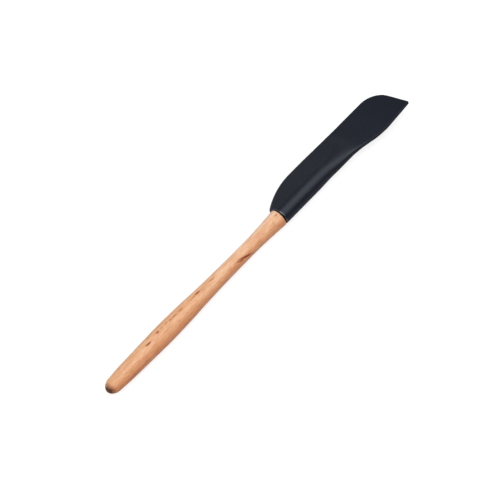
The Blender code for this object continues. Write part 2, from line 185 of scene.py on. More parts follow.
# ======================================================================================
# blade outline
# ======================================================================================
TIP_SLOPE = (TIP_SPINE - SWELL_SPINE) / (TIP_X - SWELL_X)


def wide_side(x):
    if x < FLARE_X:
        left = 1 - x / FLARE_X
        return FULL_WIDE - (FULL_WIDE - MOUTH_WIDE) * left * left
    share = clamp((x - TAPER_X0) / (TAPER_X1 - TAPER_X0), 0.0, 1.0)
    return FULL_WIDE + (END_WIDE - FULL_WIDE) * share


def spine_side(x):
    if x < SPINE_SIDE[0][0]:
        return SPINE_R
    if x < SWELL_X:
        return fair(SPINE_SIDE, x, 0.0, TIP_SLOPE)
    return SWELL_SPINE + TIP_SLOPE * (x - SWELL_X)


def fullness(x):
    return clamp(fair_held(FULLNESS, x), 0.0, 1.0)


def edge_radius(x, wide):
    if x < FLARE_X:
        return max(EDGE_R, (SPINE_R - wide * SIN_WEDGE) / (1 - SIN_WEDGE))
    return EDGE_R


# The end edge, as (x, across) directions along it and out of it. A "depth" is measured in from it; a "station" is
# where a section line crosses the axis.
ALONG = (-math.sin(END_TILT), math.cos(END_TILT))
OUT = (math.cos(END_TILT), math.sin(END_TILT))
REACH = TIP_X * OUT[0] - TIP_SPINE * OUT[1]
END_STATION = REACH / OUT[0]

# centre of the wide corner's arc, tangent to the end edge and to the wide side
CORNER_ACROSS = END_WIDE - CORNER_R
CORNER_X = (REACH - CORNER_R - CORNER_ACROSS * OUT[1]) / OUT[0]
CORNER_DEPTH = CORNER_R * (1 - OUT[1])
LEANT_STATION = END_STATION - (CORNER_DEPTH + LEAN_MARGIN) / OUT[0]

# straight spine side near the tip, by its outward normal and its distance from the origin
SLOPE_LEN = math.hypot(TIP_SLOPE, 1.0)
SIDE_NORMAL = (-TIP_SLOPE / SLOPE_LEN, -1.0 / SLOPE_LEN)
SIDE_REACH = SIDE_NORMAL[0] * SWELL_X - SIDE_NORMAL[1] * SWELL_SPINE

# centre of the tip's arc, TIP_R inside both that side and the end edge
CROSSING = SIDE_NORMAL[0] * OUT[1] - SIDE_NORMAL[1] * OUT[0]
POINT_X = ((SIDE_REACH - TIP_R) * OUT[1] - SIDE_NORMAL[1] * (REACH - TIP_R)) / CROSSING
POINT_ACROSS = (SIDE_NORMAL[0] * (REACH - TIP_R) - (SIDE_REACH - TIP_R) * OUT[0]) / CROSSING
POINT_DEPTH = TIP_R * (1 - OUT[0] * SIDE_NORMAL[0] - OUT[1] * SIDE_NORMAL[1])


def station_at(depth):
    return END_STATION - depth / OUT[0]


def line_near_end(depth):
    """Ends of the section line that runs parallel to the end edge at a depth."""
    base = REACH - depth
    if depth < CORNER_DEPTH:
        wide = (CORNER_X * ALONG[0] + CORNER_ACROSS * ALONG[1]
                + math.sqrt(max(CORNER_R**2 - (CORNER_R - depth)**2, 0.0)))
    else:
        wide = (END_WIDE - base * OUT[1]) / ALONG[1]
    if depth < POINT_DEPTH:
        spine = (POINT_X * ALONG[0] + POINT_ACROSS * ALONG[1]
                 - math.sqrt(max(TIP_R**2 - (TIP_R - depth)**2, 0.0)))
    else:
        spine = ((SIDE_REACH - base * (SIDE_NORMAL[0] * OUT[0] + SIDE_NORMAL[1] * OUT[1]))
                 / (SIDE_NORMAL[0] * ALONG[0] + SIDE_NORMAL[1] * ALONG[1]))
    return [(base * OUT[0] + at * ALONG[0], base * OUT[1] + at * ALONG[1]) for at in (spine, wide)]


def section_line(station):
    """Spine end and wide end of a section line, as (x, across)."""
    if station >= LEANT_STATION:
        return line_near_end((END_STATION - station) * OUT[0])
    share = (station - SQUARE_UNTIL) / (LEANT_STATION - SQUARE_UNTIL)
    lean = math.tan(END_TILT * smooth_step(share))
    lean += MOUTH_LEAN * smooth_step(1 - (station - MOUTH_X) / MOUTH_FADE)
    wide, spine = END_WIDE, SPINE_R
    for _ in range(30):                 # settles where the leaning line meets each side
        wide = wide_side(station - wide * lean)
        spine = spine_side(station + spine * lean)
    return [(station + spine * lean, -spine), (station - wide * lean, wide)]


# ======================================================================================
# rings in the design frame
# ======================================================================================
def hull_height(at, centre0, radius0, centre1, radius1):
    """Half thickness along a section: two arcs and the straight face tangent to both."""
    sine = clamp((radius0 - radius1) / max(centre1 - centre0, 1e-6), -1.0, 1.0)
    cosine = math.sqrt(1 - sine * sine)
    touch0, touch1 = centre0 + radius0 * sine, centre1 + radius1 * sine
    face = (radius0 + (radius1 - radius0) * (at - touch0) / (touch1 - touch0)) * cosine
    arc0 = np.sqrt(np.maximum(radius0**2 - (at - centre0)**2, 0.0))
    arc1 = np.sqrt(np.maximum(radius1**2 - (at - centre1)**2, 0.0))
    return np.where(at < touch0, arc0, np.where(at > touch1, arc1, face))


def paddle_height(at, length, wall):
    """Half thickness of the flat paddle: squarish at the spine side, a thin round wide edge."""
    body = wall + (EDGE_R - wall) * np.clip((at - wall) / (length - EDGE_R - wall), 0.0, 1.0)
    spine_end = np.clip(1 - at / wall, 0.0, 1.0)
    wide_end = np.clip((at - length + EDGE_R) / EDGE_R, 0.0, 1.0)
    return body * (1 - spine_end**4)**0.25 * np.sqrt(1 - wide_end * wide_end)


def ring_on(ends, height, inset=0.0):
    """Ring over a section line: upper side from spine end to wide end, then the lower side back."""
    (x0, across0), (x1, across1) = ends
    length = math.hypot(x1 - x0, across1 - across0)
    turns = math.pi * np.arange(SPANS + 1) / SPANS
    at = inset + (length - 2 * inset) * (1 - np.cos(turns)) / 2
    up = height(at, length)
    up[0] = up[-1] = 0.0
    upper = np.stack([x0 + at * ((x1 - x0) / length),
                      across0 + at * ((across1 - across0) / length), up], 1)
    lower = upper[1:-1][::-1] * np.array([1.0, 1.0, -1.0])
    return np.concatenate([upper, lower])


def polar_ring(x, angles, radius, flats=math.inf):
    """Ring round the axis at x, cut to a height of flats."""
    up = np.clip(radius * np.sin(angles), -flats / 2, flats / 2)
    return np.stack([np.full(len(angles), x), radius * np.cos(angles), up], 1)


def blade_ring(station, inset=0.0, squash=1.0):
    """The full wedge blended by height into the flat paddle."""
    ends = section_line(station)
    full = fullness(station)
    edge_r = edge_radius(station, ends[1][1])
    back_r = fair_held(BREADTH, station)
    widening = back_r / SPINE_R

    def height(at, length):
        up = np.zeros(len(at))
        if full > 0:
            up += full / widening * hull_height(at, back_r, back_r - inset * widening,
                                                length - edge_r * widening,
                                                (edge_r - inset) * widening)
        if full < 1:
            up += (1 - full) * paddle_height(at, length, fair_held(WALL, station))
        return up * squash

    return ring_on(ends, height, inset)


def cavity_ring(x):
    """Hollow for the core, square to x, SKIN further in than the blade less the fit gap."""
    spine, wide = spine_side(x), wide_side(x)
    wall = fair_held(WALL, x)
    crown = wall + (SPINE_R - wall) * fullness(x)
    edge_r = edge_radius(x, wide)
    spine_centre, wide_centre = SPINE_R - spine, wide - edge_r
    sin_face = (crown - edge_r) / (wide_centre - spine_centre)
    core_centre = min(wide_centre, spine_centre + (crown - SKIN - CORE_EDGE_R) / sin_face)
    spine_r = crown - SKIN + FIT_GAP
    core_r = crown - SKIN - (core_centre - spine_centre) * sin_face + FIT_GAP
    return ring_on([(x, spine_centre - spine_r), (x, core_centre + core_r)],
                   lambda at, length: hull_height(at, spine_r, spine_r, length - core_r, core_r))


# ======================================================================================
# silicone blade: one closed skin, outside and inside
# ======================================================================================
def end_edge_rings():
    """A narrow land with its arris broken, then the two-sided bevel."""
    rings = []
    for k in (0.0, 0.3, 0.6, 1.0):
        squash = BEVEL_LAND - ARRIS_DROP * (1 - math.sin(k * math.pi / 2)) + LAND_RISE * k
        rings.append(blade_ring(station_at(LAND_DEPTH * k), squash=squash))
    top = BEVEL_LAND + LAND_RISE
    for k in np.linspace(0, 1, 9)[1:]:
        depth = LAND_DEPTH + (BEVEL_LEN - LAND_DEPTH) * k
        squash = top + (1 - top) * math.sin(k * math.pi / 2)**0.9
        rings.append(blade_ring(station_at(depth), squash=squash))
    return rings


def body_rings():
    """From the bevel to the mouth: the round corner in even steps of its arc, then the rest."""
    first, last = (math.acos(1 - depth / CORNER_R) for depth in (BEVEL_LEN, CORNER_DEPTH))
    rings = [blade_ring(station_at(CORNER_R * (1 - math.cos(angle))))
             for angle in np.linspace(first, last, ring_count(44))[1:]]
    for start, end, count in ((station_at(CORNER_DEPTH), FLARE_X, 190),
                              (FLARE_X, MOUTH_X + LIP_ROUND, 96)):
        rings += [blade_ring(q) for q in np.linspace(start, end, ring_count(count))[1:]]
    rings += [blade_ring(MOUTH_X + LIP_ROUND * along, inset=LIP_ROUND * inward)
              for along, inward in quarter_round(14)]
    return rings


def collar_rings(mouth, angles):
    """Across the mouth's leaning face, over the collar and down the tenon's hole."""
    foot = polar_ring(0.0, angles, COLLAR_R)
    foot[:, 0] = MOUTH_X - MOUTH_LEAN * foot[:, 1]
    rings = [mouth * (1 - k) + foot * k for k in (0.5, 1.0)]
    top = polar_ring(COLLAR_X + COLLAR_ARRIS, angles, COLLAR_R)
    rings += [foot * (1 - k) + top * k for k in (0.15, 0.55, 1.0)]
    for radius in (COLLAR_R - COLLAR_ARRIS, COLLAR_R - 0.7, HOLE_R + 0.6, HOLE_R + HOLE_ROUND):
        rings.append(polar_ring(COLLAR_X, angles, radius))
    for outward, along in quarter_round(6):
        rings.append(polar_ring(COLLAR_X + HOLE_ROUND * along, angles,
                                HOLE_R + HOLE_ROUND * outward))
    return rings


def blade_rings():
    rings = end_edge_rings() + body_rings()
    mouth = rings[-1]
    angles = np.arctan2(mouth[:, 2], mouth[:, 1])
    rings += collar_rings(mouth, angles)
    hole_end = polar_ring(CORE_X0 - FIT_GAP, angles, HOLE_R)
    cavity_start = cavity_ring(CORE_X0 - FIT_GAP)
    rings += [hole_end, hole_end * 0.5 + cavity_start * 0.5, cavity_start]
    rings += [cavity_ring(x) for x in np.linspace(CORE_X0, CORE_X1 + FIT_GAP, ring_count(60))]
    return rings


# ======================================================================================
# beech handle: butt, turned body, shoulder and flatted tenon
# ======================================================================================
def handle_rings():
    angles = 2 * math.pi * np.arange(HANDLE_SIDES) / HANDLE_SIDES
    rings = []

    def add(x, radius, flats=math.inf):
        rings.append(polar_ring(x, angles, radius, flats))

    for turn in np.linspace(0, math.pi / 2, 40)[1:]:
        x = CAP_X - (CAP_X - BUTT_X) * math.cos(turn)
        add(x, handle_radius(x))
    for x in np.linspace(CAP_X, SHOULDER_X - SHOULDER_ROUND, ring_count(420))[1:]:
        add(x, handle_radius(x))
    shoulder_r = handle_radius(SHOULDER_X)
    for along, inward in quarter_round(10):
        add(SHOULDER_X - SHOULDER_ROUND * along, shoulder_r - SHOULDER_ROUND * inward)
    for radius in SHOULDER_RADII:
        add(SHOULDER_X, radius)
    for past, extra in TENON_ROOT:
        add(SHOULDER_X + past, TENON_R + extra)
    for x in np.linspace(TENON_START, TENON_END - TENON_ROUND, ring_count(110)):
        add(x, TENON_R, TENON_FLATS)
    for along, inward in quarter_round(5):
        radius = TENON_R - TENON_ROUND * inward
        add(TENON_END - TENON_ROUND * along, radius, min(TENON_FLATS, 2 * radius))
    for radius in TENON_END_RADII:
        add(TENON_END, radius)
    return rings


# ======================================================================================
# meshes
# ======================================================================================
def to_scene(points):
    """Design frame in millimetres to the scene in metres."""
    cosine, sine = math.cos(ROLL), math.sin(ROLL)
    x, across, up = points[..., 0], points[..., 1], points[..., 2]
    rolled = np.stack([x, across * cosine + up * sine, -across * sine + up * cosine], -1)
    return rolled * MM + np.array(AXIS)


def fan_cap(verts, ring, base, last):
    """Triangles from a ring to a new point at its centre."""
    count = len(ring)
    loop = list(range(base, base + count))
    if last:
        loop.reverse()
    verts.append(ring.mean(0).tolist())
    centre = len(verts) - 1
    return [(loop[(i + 1) % count], loop[i], centre) for i in range(count)]


def strip_cap(verts, ring, base, last):
    """Quads across a ring whose points run there and back; triangles at its two ends."""
    count = len(ring)
    faces = []
    for i in range(count // 2):
        corners = (i, i + 1, count - i - 1, (count - i) % count)
        face = [base + corner for corner in dict.fromkeys(corners)]
        faces.append(face if last else face[::-1])
    return faces


def skin_over(name, rings, cap, sharp_angle):
    """Closed object over rings of equal length; edges steeper than sharp_angle stay sharp."""
    rings = to_scene(np.asarray(rings))
    ring_total, count = rings.shape[:2]
    verts = rings.reshape(-1, 3).tolist()
    faces = []
    for ring in range(ring_total - 1):
        near, far = ring * count, (ring + 1) * count
        for i in range(count):
            j = (i + 1) % count
            faces.append((near + i, near + j, far + j, far + i))
    for ring in (0, ring_total - 1):
        faces += cap(verts, rings[ring], ring * count, last=ring > 0)
    mesh = bpy.data.meshes.new(name)
    mesh.from_pydata(verts, [], faces)
    bm = bmesh.new()
    bm.from_mesh(mesh)
    bmesh.ops.remove_doubles(bm, verts=bm.verts, dist=1e-7)
    bmesh.ops.dissolve_degenerate(bm, edges=bm.edges, dist=1e-8)
    bmesh.ops.recalc_face_normals(bm, faces=bm.faces)
    bm.to_mesh(mesh)
    bm.free()
    mesh.validate()
    mesh.shade_smooth()
    mesh.set_sharp_from_angle(angle=math.radians(sharp_angle))
    obj = bpy.data.objects.new(name, mesh)
    bpy.context.scene.collection.objects.link(obj)
    return obj


head = skin_over("silicone_blade", blade_rings(), strip_cap, sharp_angle=38.0)
handle = skin_over("beech_handle", handle_rings(), fan_cap, sharp_angle=50.0)


# ======================================================================================
# node networks
# ======================================================================================
def srgb(*channels):
    """Linear colour from 0-255 sRGB channels."""
    def linear(channel):
        channel /= 255.0
        return channel / 12.92 if channel <= 0.04045 else ((channel + 0.055) / 1.055)**2.4
    return tuple(linear(channel) for channel in channels) + (1.0,)


def operators(operation):
    """Python operator and its reflected form, each adding one Math node."""
    def forward(self, other):
        return self.net.math(operation, self, other)

    def reflected(self, other):
        return self.net.math(operation, other, self)

    return forward, reflected


class Value:
    """Output socket of a node that takes Python arithmetic."""

    def __init__(self, net, socket):
        self.net = net
        self.socket = socket

    __add__, __radd__ = operators("ADD")
    __sub__, __rsub__ = operators("SUBTRACT")
    __mul__, __rmul__ = operators("MULTIPLY")
    __truediv__, __rtruediv__ = operators("DIVIDE")
    __pow__, __rpow__ = operators("POWER")

    def __abs__(self):
        return self.net.math("ABSOLUTE", self)


class Net:
    """Builds a node tree with plain calls; every input is a Value, a socket or a constant."""

    def __init__(self, tree):
        self.tree = tree

    def put(self, socket, value):
        if isinstance(value, Value):
            value = value.socket
        if isinstance(value, bpy.types.NodeSocket):
            self.tree.links.new(value, socket)
        else:
            socket.default_value = value

    def node(self, kind, inputs=None, **properties):
        node = self.tree.nodes.new(kind)
        for key, value in properties.items():
            setattr(node, key, value)
        for key, value in (inputs or {}).items():
            self.put(node.inputs[key], value)
        return node

    def add(self, kind, inputs=None, output=0, **properties):
        return Value(self, self.node(kind, inputs, **properties).outputs[output])

    def math(self, operation, *values):
        return self.add("ShaderNodeMath", dict(enumerate(values)), operation=operation)

    def vector_math(self, operation, *values, output=0):
        return self.add("ShaderNodeVectorMath", dict(enumerate(values)), output,
                        operation=operation)

    def split(self, vector):
        node = self.node("ShaderNodeSeparateXYZ", {0: vector})
        return [Value(self, socket) for socket in node.outputs]

    def stretched(self, vector, along, across, shift=(0, 0, 0)):
        """Scale along the handle and across it."""
        return self.add("ShaderNodeMapping", {"Vector": vector, "Scale": (along, across, across),
                                              "Location": shift})

    def noise(self, vector, along=None, across=None, shift=(0, 0, 0), scale=1.0, detail=2.0,
              rough=0.5, distortion=0.0):
        if along is not None:
            vector = self.stretched(vector, along, across, shift)
        return self.add("ShaderNodeTexNoise", {
            "Vector": vector, "Scale": scale, "Detail": detail, "Roughness": rough,
            "Distortion": distortion})

    def swing(self, vector, reach, **settings):
        """Noise centred on zero and scaled by reach."""
        return (self.noise(vector, **settings) - 0.5) * reach

    def ramp(self, factor, stops):
        """Eased ramp through (position, grey or colour) stops."""
        node = self.node("ShaderNodeValToRGB", {0: factor})
        ramp = node.color_ramp
        ramp.interpolation = "EASE"
        while len(ramp.elements) > 1:
            ramp.elements.remove(ramp.elements[-1])
        for i, (position, colour) in enumerate(stops):
            stop = ramp.elements[0] if i == 0 else ramp.elements.new(position)
            stop.position = position
            stop.color = colour if isinstance(colour, tuple) else (colour, colour, colour, 1)
        return Value(self, node.outputs[0])

    def fade(self, factor, start, end, first=0.0, last=1.0):
        return self.ramp(factor, ((start, first), (end, last)))

    def mix(self, base, other, amount, mode="MIX"):
        return self.add("ShaderNodeMix", {0: amount, 6: base, 7: other}, output=2,
                        data_type="RGBA", blend_type=mode, clamp_factor=True)

    def tint(self, colour, factors, amount):
        """Multiply a colour by the factors, by an amount."""
        return self.mix(colour, self.mix(colour, factors + (1,), amount=1.0, mode="MULTIPLY"),
                        amount=amount)

    def bump(self, height, strength, distance):
        return self.add("ShaderNodeBump",
                        {"Height": height, "Strength": strength, "Distance": distance})

    def mix_shaders(self, factor, if_zero, if_one):
        return self.add("ShaderNodeMixShader", {0: factor, 1: if_zero, 2: if_one})

    def surface(self, inputs):
        """Set the Principled BSDF."""
        for key, value in inputs.items():
            self.put(self.tree.nodes["Principled BSDF"].inputs[key], value)


def new_material(name):
    material = bpy.data.materials.new(name)
    material.use_nodes = True
    return material, Net(material.node_tree)


def axis_coords(net):
    """Object coordinates in millimetres, from the mouth's centre along the handle's axis."""
    coord = net.add("ShaderNodeTexCoord", output="Object")
    from_mouth = net.vector_math("SUBTRACT", coord, tuple(AXIS))
    return net.vector_math("MULTIPLY", from_mouth, (1000.0, 1000.0, 1000.0))


def axis_radius(net, y, z):
    return net.math("SQRT", y * y + z * z)


# ======================================================================================
# oiled beech
# ======================================================================================
# dark mineral streaks: (x, angle round the axis in degrees from +Y towards +Z, half length, half width, lean, strength)
STREAKS = (
    (-41.5, 134.5, 6.8, 1.00, -0.30, 1.00),
    (-46.4, 129.5, 3.2, 0.75, -0.30, 0.85),
    (-72.0, 76.5, 3.8, 0.65, -0.06, 0.55),
    (-86.6, 72.5, 3.0, 0.72, -0.05, 0.95),
    (-92.0, 75.5, 4.4, 0.48, -0.05, 0.45),
    (-105.0, 75.5, 2.8, 1.00, 0.00, 0.42),
    (-111.6, 75.3, 2.6, 0.55, 0.00, 0.70),
    (-115.6, 75.0, 2.0, 0.58, 0.00, 0.75),
    (-119.9, 72.5, 2.3, 0.52, 0.04, 0.62),
    (-124.2, 71.8, 2.0, 0.52, 0.00, 0.60),
    (-128.8, 73.8, 1.5, 0.92, 0.00, 0.95),
    (-139.9, 83.5, 3.0, 0.74, -0.05, 0.98),
    (-161.5, 79.0, 3.6, 0.45, 0.00, 0.30),
    (-2.6, 84.0, 1.3, 0.85, 0.10, 0.50),
    (-8.8, 107.0, 1.8, 0.60, 0.00, 0.30),
    # on the underside
    (-63.0, -62.0, 5.0, 0.60, 0.05, 0.65),
    (-118.0, 205.0, 4.0, 0.62, 0.04, 0.55),
    (-151.0, -20.0, 5.5, 0.52, -0.04, 0.50),
    (-27.0, 262.0, 3.0, 0.55, 0.03, 0.50),
)
# what the streaks are drawn with: their ragged outline, and the size of the fade ramps
STREAK_RAGGEDNESS, STREAK_FADE = 1.2, 0.4
HALO_STRENGTH = 0.5

LAYER_PITCH = 2.3                       # mm between growth layers
LAYER_NORMAL = (0.012, 0.82, 0.57)      # x, y, z shares of the direction across the layers
PALE, MID, DEEP = srgb(235, 177, 133), srgb(226, 160, 114), srgb(208, 132, 87)
FIBRE_COLOUR, FLECK_COLOUR, PORE_COLOUR = srgb(198, 124, 84), srgb(164, 88, 56), srgb(170, 104, 68)
STREAK_COLOUR = srgb(140, 64, 36)
# end grain of the butt; its darkest colour also carries painted shade
END_GRAIN_LIGHT, END_GRAIN_AND_SHADE_DARK = srgb(206, 116, 66), srgb(80, 40, 20)


def growth_layers(net, point, x, y, z):
    """Nearly flat sheets along the stick, wandering slowly, each with a sharp late line."""
    wander = net.swing(point, reach=5.0, along=0.020, across=0.05)
    fine_wander = net.swing(point, reach=0.9, along=0.07, across=0.25, shift=(3.1, 0, 0))
    depth = y * LAYER_NORMAL[1] + z * LAYER_NORMAL[2] + wander + fine_wander
    depth = depth + x * LAYER_NORMAL[0]
    return net.ramp(net.math("FRACT", depth / LAYER_PITCH),
                    ((0.0, 0.55), (0.10, 0.10), (0.55, 0.25), (0.90, 0.85), (1.0, 1.0)))


def grain_colour(net, point, layers, fibres):
    """Long soft stripes and blotches, growth layers and fibres."""
    stripes = net.noise(point, along=0.018, across=0.42, shift=(0, 7, 0), detail=3.0, rough=0.55,
                        distortion=0.2)
    blotch = net.noise(point, along=0.045, across=0.11, shift=(0, 0, 11), detail=3.0, rough=0.55)
    stripe_share, blotch_share = 0.55, 0.45
    colour = net.ramp(stripes * stripe_share + blotch * blotch_share,
                      ((0.30, PALE), (0.50, MID), (0.72, DEEP)))
    colour = net.mix(colour, DEEP, amount=layers * 0.34)
    fibre_mask = net.fade(fibres, start=0.35, end=0.75)
    return net.mix(colour, FIBRE_COLOUR, amount=fibre_mask * 0.30)


def painted_side_light(net, colour, x, turn):
    """Painted light and shade: paler towards +Y and the top, where light falls, most of all near the head; redder in
    painted shade towards -Y on the grip.
    """
    def facing(degrees, start, end):
        cosine = net.math("COSINE", turn - math.radians(degrees))
        return net.fade(cosine * 0.5 + 0.5, start=start, end=end)

    def from_station(start, length):
        return (x - start) / length if start > 0 else (x + -start) / length

    # painted light: paler on the side and top that face the light
    colour = net.tint(colour, (1.06, 1.34, 1.56), amount=facing(55.0, start=0.42, end=0.80))
    near_head = net.fade(from_station(-100.0, length=100.0), start=0.0, end=0.75)
    colour = net.tint(colour, (1.06, 1.20, 1.40),
                      amount=facing(18.0, start=0.70, end=0.92) * near_head)
    nearest = net.fade(from_station(-70.0, length=70.0), start=0.0, end=0.40)
    colour = net.tint(colour, (1.04, 1.10, 1.18),
                      amount=facing(70.0, start=0.80, end=0.95) * nearest)
    # painted shade: redder on the grip's shaded side
    grip = net.ramp(from_station(-150.0, length=80.0), ((0.0, 1.0), (0.55, 0.75), (1.0, 0.0)))
    return net.tint(colour, (0.97, 0.87, 0.80),
                    amount=facing(150.0, start=0.80, end=0.95) * grip)


def patches(net, point, colour):
    """Redder patches stretched along the grain, then fine mottling."""
    patch = net.noise(point, along=0.09, across=0.42, shift=(8, 1, 5), detail=4.0, rough=0.62,
                      distortion=0.6)
    colour = net.tint(colour, (0.86, 0.70, 0.60),
                      amount=net.fade(patch, start=0.47, end=0.63) * 0.60)
    mottle = net.noise(point, along=0.24, across=0.62, shift=(4, 9, 2), detail=4.0, rough=0.68,
                       distortion=0.8)
    return net.tint(colour, (0.90, 0.78, 0.71),
                    amount=net.fade(mottle, start=0.44, end=0.66) * 0.52)


def ray_flecks(net, point):
    """Short dark dashes along the grain, the mark of beech."""
    distance = net.add("ShaderNodeTexVoronoi", {
        "Scale": 1.0, "Randomness": 1.0,
        "Vector": net.stretched(point, along=0.36, across=1.75)}, output="Distance", feature="F1")
    fleck = net.fade(distance, start=0.12, end=0.32, first=1.0, last=0.0)
    keep = net.noise(point, along=0.10, across=0.5, shift=(0, 3, 9), detail=1.0)
    return fleck * net.fade(keep, start=0.38, end=0.62, first=0.15)


def pore_lines(net, point):
    pores = net.noise(point, along=0.55, across=9.0, shift=(2, 2, 2), rough=0.6)
    return net.fade(pores, start=0.60, end=0.72)


def mineral_streaks(net, point, x, y, z):
    """Masks of the streaks and of the halo round them: ragged ellipses on the stick's skin."""
    angle = net.math("ARCTAN2", z, y)
    radius = axis_radius(net, y, z)
    ragged = net.swing(point, reach=STREAK_RAGGEDNESS, along=0.55, across=2.2, shift=(1, 4, 6),
                       detail=3.0, rough=0.65)
    streaks, halos = [], []
    for station, degrees, half_length, half_width, lean, strength in STREAKS:
        turned = angle - math.radians((degrees + 180) % 360 - 180)
        turned = net.math("WRAP", turned, math.pi, -math.pi)
        along = x - station
        arc = turned * radius - along * -lean
        squares = abs(along / half_length) ** 2.0 + abs(arc / half_width) ** 2.0
        reach = net.math("SQRT", squares) + ragged
        streaks.append(net.fade(reach * STREAK_FADE, start=0.16, end=0.48, first=1.0, last=0.0)
                       * strength)
        halos.append(net.fade(reach * STREAK_FADE, start=0.35, end=1.0, first=1.0, last=0.0)
                     * (HALO_STRENGTH * strength))
    return [reduce(lambda most, mask: net.math("MAXIMUM", most, mask), masks)
            for masks in (streaks, halos)]


def end_grain_and_shade(net, point, x, turn):
    """Mask of the darker end grain on the rounded butt, deepened by painted shade, which makes it darkest on one side.
    """
    starts_before_cap, length = 2.6, 5.0
    from_end = x * -1.0 - (-CAP_X + starts_before_cap)
    # painted shade: the mask reaches further on one side of the butt
    shaded_side = net.math("COSINE", turn - math.radians(128.0))
    from_end = from_end + shaded_side * 1.1
    from_end = from_end + net.swing(point, reach=3.0, along=0.5, across=0.5, shift=(0, 2, 0),
                                    detail=3.0, rough=0.6)
    return net.ramp(from_end / length, ((0.10, 0.0), (0.45, 0.55), (0.90, 1.0)))


def wood_material():
    material, net = new_material("beech_oiled")
    point = axis_coords(net)
    x, y, z = net.split(point)
    turn = net.math("ARCTAN2", z, y)
    layers = growth_layers(net, point, x, y, z)
    fibres = net.noise(point, along=0.11, across=3.4, shift=(5, 0, 0), detail=3.0, rough=0.6)
    colour = grain_colour(net, point, layers, fibres)
    # painted light and shade on the handle's sides
    colour = painted_side_light(net, colour, x, turn)
    colour = patches(net, point, colour)
    fleck = ray_flecks(net, point)
    colour = net.mix(colour, FLECK_COLOUR, amount=fleck * 0.46)
    pores = pore_lines(net, point)
    colour = net.mix(colour, PORE_COLOUR, amount=pores * 0.22)
    streak, halo = mineral_streaks(net, point, x, y, z)
    colour = net.tint(colour, (0.90, 0.72, 0.62), amount=halo)
    colour = net.mix(colour, STREAK_COLOUR, amount=streak)
    # the end grain, darkened further by painted shade
    end_darkening = end_grain_and_shade(net, point, x, turn)
    colour = net.mix(colour, net.mix(END_GRAIN_LIGHT, END_GRAIN_AND_SHADE_DARK, amount=end_darkening),
                     amount=end_darkening * 0.95)
    # fibres stand proud; pores and flecks are sunk
    height = fibres * 0.6 - pores * 0.8 - fleck * 0.35
    net.surface({
        "Base Color": colour,
        "Roughness": 0.40 + fibres * 0.16 + streak * 0.08,
        "IOR": 1.47,
        "Specular IOR Level": 0.42,
        "Sheen Weight": (1.0 - end_darkening) * 0.25,
        "Sheen Roughness": 0.35,
        "Normal": net.bump(height, strength=0.25, distance=0.00006)})
    return material


# ======================================================================================
# black silicone and grey nylon
# ======================================================================================
SILICONE_DARK, SILICONE_LIGHT = (0.0022, 0.0038, 0.0096, 1), (0.0028, 0.0047, 0.0112, 1)
# dust specks, and near-black painted shade for the recess inside the mouth
DUST_COLOUR, GROOVE_SHADE = (0.020, 0.023, 0.031, 1), (0.0008, 0.0010, 0.0016, 1)
NYLON_DARK, NYLON_LIGHT = (0.040, 0.041, 0.045, 1), (0.055, 0.056, 0.060, 1)


def mouth_masks(net, x, y, z):
    """Masks of the lip round the mouth and of the painted shade in the recess inside it."""
    across = y * math.cos(ROLL) - z * math.sin(ROLL)
    from_rim = x + across * MOUTH_LEAN
    rim = net.fade((from_rim - MOUTH_X) / 2.0, start=0.36, end=0.72, first=1.0, last=0.0)
    outer = net.fade((axis_radius(net, y, z) - 6.0) / 1.0, start=0.15, end=0.45)
    # painted shade inside the mouth's rim, where the recess lies in shade
    groove_shade = rim * (1.0 - outer)
    # the lip's mask weakens towards the wide side
    weakening = net.fade(across / 10.0, start=0.35, end=0.75, first=1.0, last=0.15)
    return rim * outer * weakening, groove_shade


def silicone_material():
    """Matt faces, a glossier lip and painted shade in the recess inside the mouth; the gloss falls towards the tip."""
    material, net = new_material("black_silicone")
    point = axis_coords(net)
    x, y, z = net.split(point)
    cloud = net.noise(point, along=0.035, across=0.05, detail=3.0, rough=0.55)
    grain = net.noise(point, scale=5.5, detail=3.0, rough=0.6)
    dust = net.noise(point, along=1.3, across=1.3, shift=(4, 1, 2), detail=4.0, rough=0.7)
    lip, groove_shade = mouth_masks(net, x, y, z)
    base = net.mix(SILICONE_DARK, SILICONE_LIGHT, amount=net.fade(cloud, start=0.35, end=0.65))
    base = net.mix(base, DUST_COLOUR, amount=net.fade(dust, start=0.62, end=0.80) * 0.12)
    shine = net.ramp((x - 70.0) / 60.0, ((0.0, 0.57), (0.12, 0.62), (0.26, 0.50), (1.0, 0.40)))
    # the painted shade also dulls reflections in the recess
    shine = shine * (1.0 - groove_shade * 0.85)
    net.surface({
        "Base Color": net.mix(base, GROOVE_SHADE, amount=groove_shade),
        "Roughness": 0.43 + cloud * 0.06 + grain * 0.05 - lip * 0.20,
        "IOR": 1.45,
        "Specular IOR Level": shine + lip * 0.44,
        "Specular Tint": (0.83, 0.89, 1.0, 1),
        "Coat Weight": lip * 0.75,
        "Coat Roughness": 0.31,
        "Coat Tint": (0.80, 0.90, 1.0, 1),
        "Coat IOR": 1.7,
        "Normal": net.bump(grain, strength=0.10, distance=0.00003)})
    return material


def nylon_material():
    material, net = new_material("grey_nylon")
    point = axis_coords(net)
    grain = net.noise(point, scale=3.0, detail=3.0, rough=0.6)
    flow = net.noise(point, along=0.06, across=0.4, detail=3.0, rough=0.55)
    net.surface({
        "Base Color": net.mix(NYLON_DARK, NYLON_LIGHT, amount=flow),
        "Roughness": 0.36 + grain * 0.14,
        "IOR": 1.53,
        "Normal": net.bump(grain, strength=0.15, distance=0.00004)})
    return material


wood = wood_material()
silicone = silicone_material()
nylon = nylon_material()


def recoat(node, material):
    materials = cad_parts[node].data.materials
    materials.clear()
    materials.append(material)


